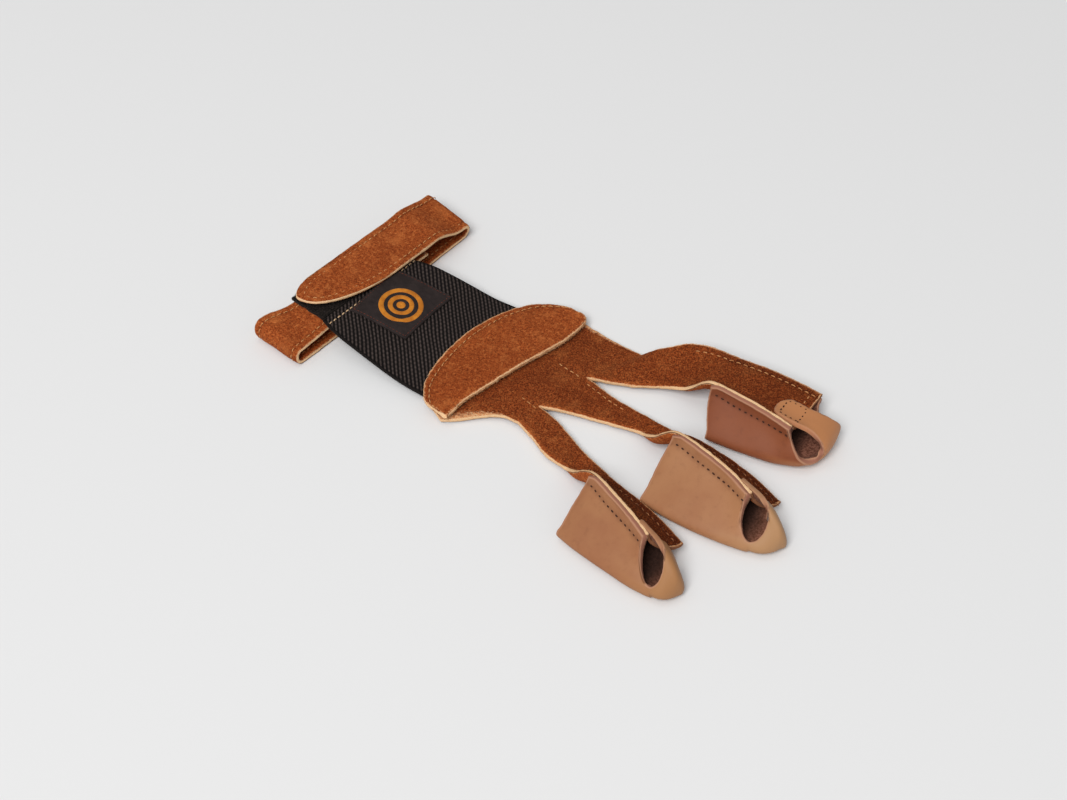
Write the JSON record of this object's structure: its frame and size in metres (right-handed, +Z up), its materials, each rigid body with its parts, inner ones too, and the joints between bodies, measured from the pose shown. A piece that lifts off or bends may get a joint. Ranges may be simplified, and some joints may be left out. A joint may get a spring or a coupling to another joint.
{
  "type": "archery finger glove",
  "caption": "Right-hand archery glove lying back up: leather finger stalls on suede straps, a knuckle plate with a crescent, an elastic back with a label, and a wrist strap with hook and loop.",
  "frame": {"origin": "centre of the bounding box's base, on the table that the glove lies on", "axes": "+X from the wrist to the fingertips, +Y to the index finger's side, +Z up out of the back of the hand"},
  "size_m": [0.2076, 0.1114, 0.0174],
  "materials": {
    "suede": "napped suede",
    "stall_leather": "smooth matt grain",
    "elastic": "ribbed webbing",
    "tape": "hook and loop pile",
    "label_cloth": "close weave"
  },
  "bodies": {
    "root": {"wrist_strap": "suede", "loop_tape": "tape", "hook_tape": "tape", "elastic_band": "elastic", "label": "label_cloth", "finger_panel": "suede", "knuckle_patch": "suede", "ring_stall": "stall_leather", "middle_stall": "stall_leather", "index_stall": "stall_leather"}
  },
  "joints": []
}
